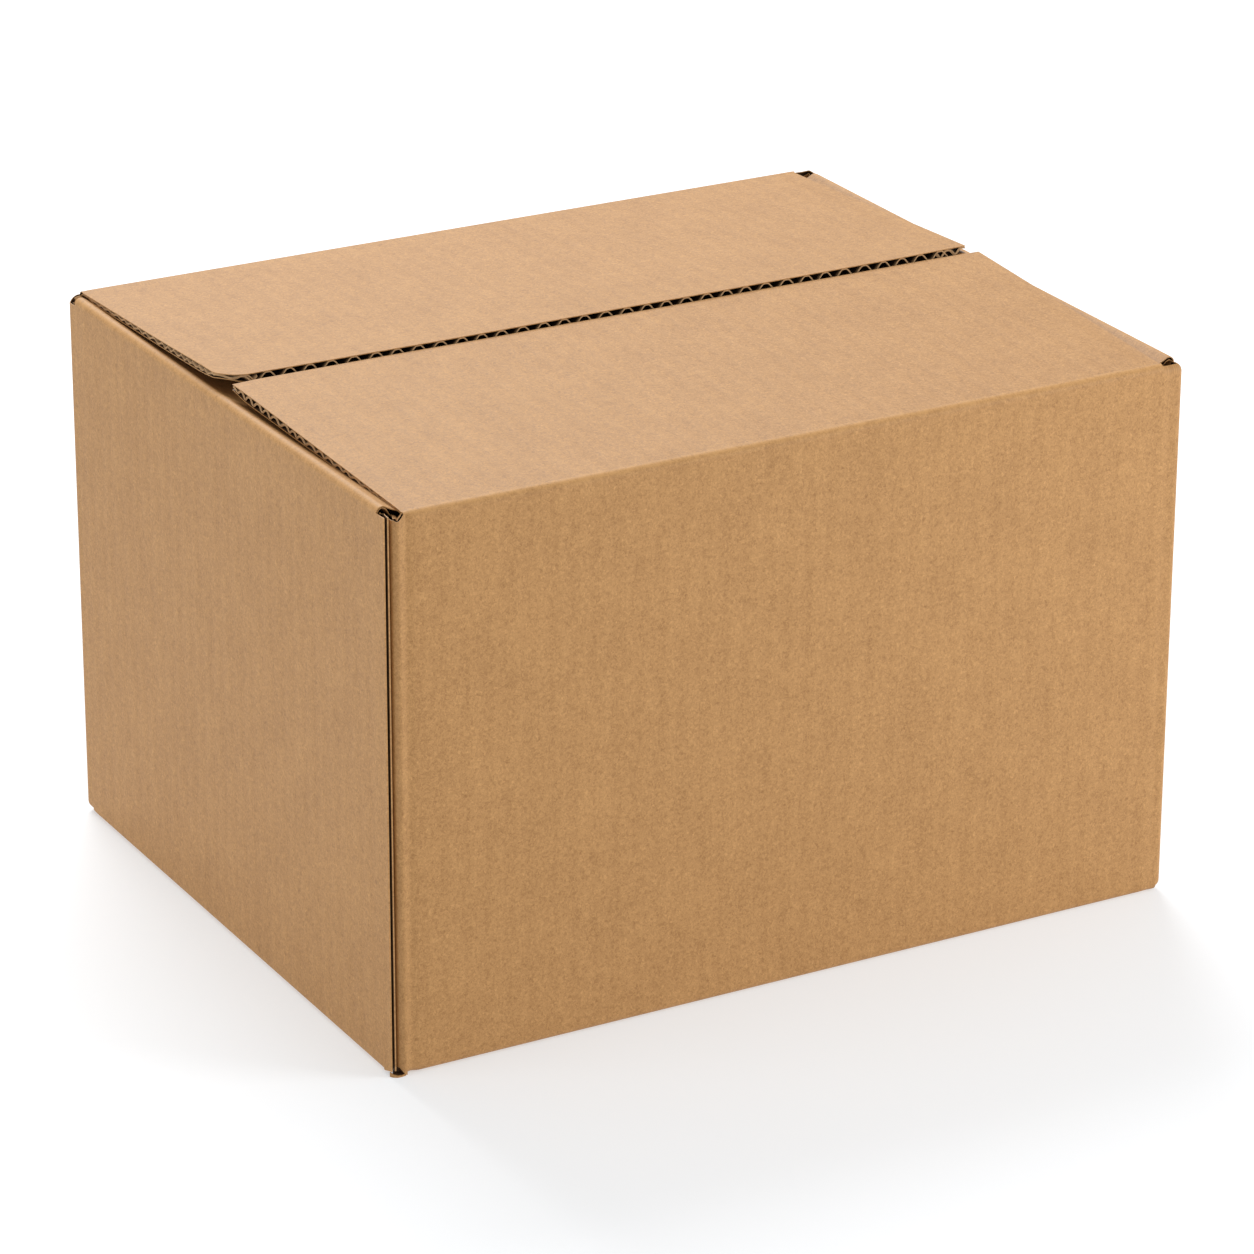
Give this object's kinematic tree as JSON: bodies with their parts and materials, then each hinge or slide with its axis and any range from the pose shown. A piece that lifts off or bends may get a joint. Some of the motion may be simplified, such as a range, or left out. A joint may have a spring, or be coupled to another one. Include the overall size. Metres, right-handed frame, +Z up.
{
  "type": "corrugated carton",
  "caption": "Closed, untaped regular slotted carton of kraft C-flute board, with two hinged outer top flaps over its inner flaps.",
  "frame": {"origin": "middle of the base, on the surface that the carton stands on", "axes": "+X along the carton's length to the right of the glued corner, +Y to the rear wall, +Z up"},
  "size_m": [0.3, 0.243, 0.2015],
  "materials": {
    "kraft_board": "plain uncoated kraft liner, matt, with fine fibre flecks"
  },
  "bodies": {
    "root": {"carton": "kraft_board"},
    "front_flap_body": {"front_flap": "kraft_board"},
    "rear_flap_body": {"rear_flap": "kraft_board"}
  },
  "joints": [
    {"name": "front_flap_fold", "type": "hinge", "parent": "root", "child": "front_flap_body", "pos_m": [0, -0.1215, 0.195], "axis": [1, 0, 0], "range_deg": [0, 260]},
    {"name": "rear_flap_fold", "type": "hinge", "parent": "root", "child": "rear_flap_body", "pos_m": [0, 0.1215, 0.196], "axis": [-1, 0, 0], "range_deg": [0, 260]}
  ]
}
